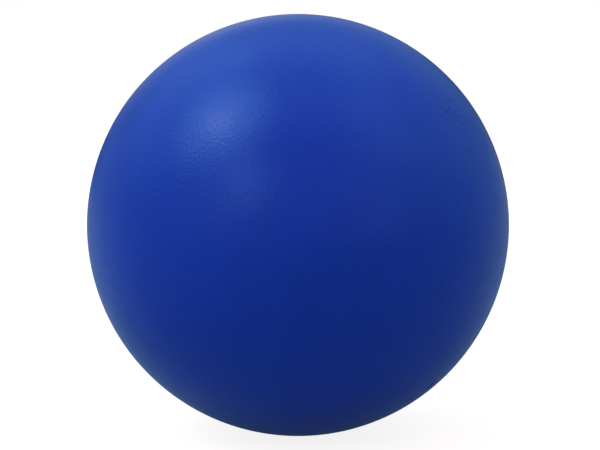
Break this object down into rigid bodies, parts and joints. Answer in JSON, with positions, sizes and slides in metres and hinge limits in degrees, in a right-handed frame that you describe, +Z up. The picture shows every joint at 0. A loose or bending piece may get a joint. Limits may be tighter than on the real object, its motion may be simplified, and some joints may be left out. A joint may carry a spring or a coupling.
{
  "type": "croquet ball",
  "caption": "Full-size composite croquet ball: plain blue hard plastic case, joined round the middle, over a glued-in cork and rubber core.",
  "frame": {"origin": "centre of the ball", "axes": "+Z up; Y is the axis that the two cups were moulded along, with the front cup on the -Y side, so the joint between the cups lies in the XZ plane"},
  "size_m": [0.092, 0.092, 0.092],
  "materials": {
    "shell_plastic": "satin",
    "weld_plastic": "satin",
    "adhesive": "satin",
    "cork_rubber": "matte"
  },
  "bodies": {
    "root": {"front_shell": "shell_plastic", "rear_shell": "shell_plastic", "seam_weld": "weld_plastic", "core_glue": "adhesive", "core": "cork_rubber"}
  },
  "joints": []
}
